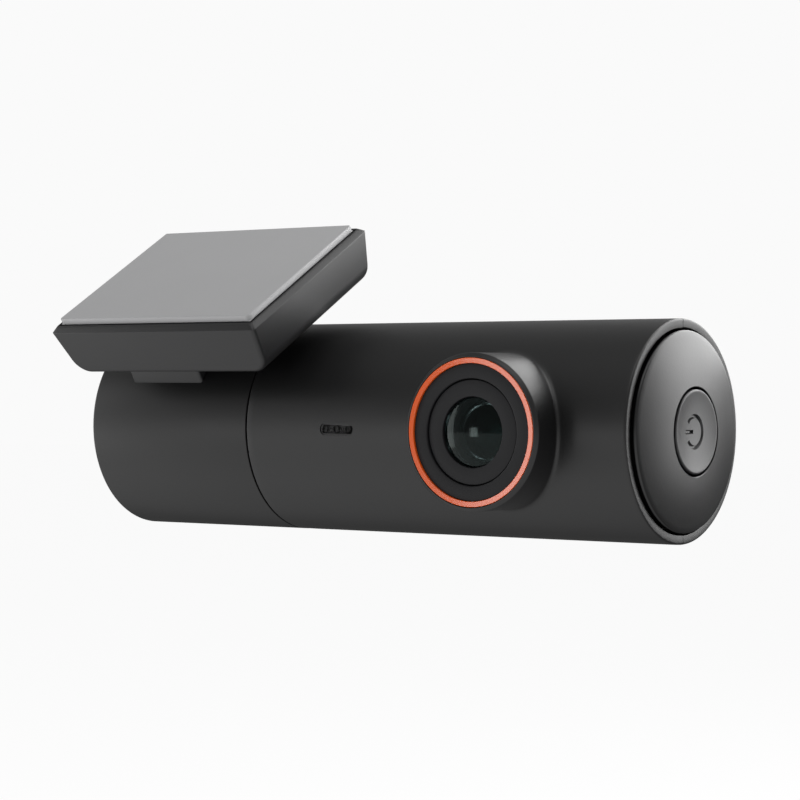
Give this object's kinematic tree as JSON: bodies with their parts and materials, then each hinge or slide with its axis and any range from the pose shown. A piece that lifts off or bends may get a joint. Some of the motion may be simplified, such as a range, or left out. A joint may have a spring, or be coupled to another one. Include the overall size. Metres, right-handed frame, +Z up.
{
  "type": "dash camera",
  "caption": "Barrel-shaped windscreen dash camera: a lens body turns on a fixed sleeve that slides onto a tilted adhesive bracket, with a power button in the domed end.",
  "frame": {"origin": "centre of the adhesive pad's outer face, which sticks to the windscreen", "axes": "+X along the barrel towards the power button, -Y the way the lens looks, +Z up; the pad's face looks up and forward"},
  "size_m": [0.1005, 0.0429, 0.0473],
  "materials": {
    "pad_foam": "matte foam tape with a smooth grey release liner",
    "bracket_plastic": "satin fine-textured moulding",
    "barrel_plastic": "satin near-black moulding",
    "cap_plastic": "satin moulding with a soft sheen",
    "button_plastic": "satin moulding",
    "trim_orange": "satin orange anodised look",
    "bezel_plastic": "fine matte",
    "lens_metal": "black anodised",
    "front_glass": "coated dark glass",
    "inner_glass": "clear polished",
    "filter_glass": "blue-green filter",
    "sensor_glass": "dark sensor window",
    "circuit_board": "green solder mask",
    "chip_resin": "moulded resin",
    "connector_plastic": "moulded nylon",
    "flex_film": "polyimide film",
    "screw_steel": "zinc plated",
    "socket_steel": "stamped nickel-plated shell",
    "can_metal": "stamped can",
    "bush_plastic": "acetal",
    "inner_plastic": "moulded",
    "gasket_rubber": "soft",
    "spreader_aluminium": "plain sheet",
    "capacitor_sleeve": "shrink sleeve",
    "speaker_black": "moulded frame and cone",
    "card_plastic": "moulded"
  },
  "bodies": {
    "bracket": {"adhesive_pad": "pad_foam", "bracket_housing": "bracket_plastic", "bracket_cover": "inner_plastic", "bracket_screws": "screw_steel", "rail_spring": "screw_steel"},
    "sleeve": {"mount_rail": "bracket_plastic", "rail_screws": "screw_steel", "sleeve_shell": "barrel_plastic", "hinge_bush": "bush_plastic", "usb_socket": "socket_steel", "port_board": "circuit_board", "port_screws": "screw_steel", "flex_connector": "connector_plastic", "flex_cable": "flex_film"},
    "button": {"power_button": "button_plastic", "switch_plunger": "connector_plastic"},
    "card": {"memory_card": "card_plastic"},
    "camera": {"hinge_hub": "inner_plastic", "hub_screws": "screw_steel", "wave_washer": "screw_steel", "retaining_ring": "screw_steel", "front_shell": "barrel_plastic", "rear_shell": "barrel_plastic", "lens_trim_ring": "trim_orange", "lens_bezel": "bezel_plastic", "lens_plate": "bezel_plastic", "lens_tube": "lens_metal", "front_element": "front_glass", "middle_element": "inner_glass", "relay_element": "inner_glass", "lens_holder": "inner_plastic", "ir_filter": "filter_glass", "image_sensor": "sensor_glass", "sensor_board": "circuit_board", "sensor_screws": "screw_steel", "board_connector": "connector_plastic", "mic_gasket": "gasket_rubber", "mic_board": "circuit_board", "microphone": "can_metal", "main_board": "circuit_board", "main_screws": "screw_steel", "processor": "chip_resin", "memory_chip": "chip_resin", "radio_module": "can_metal", "thermal_pad": "gasket_rubber", "heat_spreader": "spreader_aluminium", "supercapacitors": "capacitor_sleeve", "speaker": "speaker_black", "card_socket": "can_metal", "end_frame": "inner_plastic", "frame_screws": "screw_steel", "switch_board": "circuit_board", "tact_switch": "chip_resin", "end_cap": "cap_plastic"}
  },
  "joints": [
    {"name": "bracket_slide", "type": "slide", "parent": "bracket", "child": "sleeve", "axis": [-1, 0, 0], "range_m": [0, 0.02]},
    {"name": "lens_tilt", "type": "hinge", "parent": "sleeve", "child": "camera", "pos_m": [0.0098, 0.01385, -0.02399], "axis": [1, 0, 0], "range_deg": [-40, 60]},
    {"name": "power_press", "type": "slide", "parent": "camera", "child": "button", "axis": [-1, 0, 0], "range_m": [0, 0.0004], "stiffness_N_per_m": 4000},
    {"name": "card_eject", "type": "slide", "parent": "camera", "child": "card", "axis": [0, 0, -1], "range_m": [0, 0.016]}
  ]
}
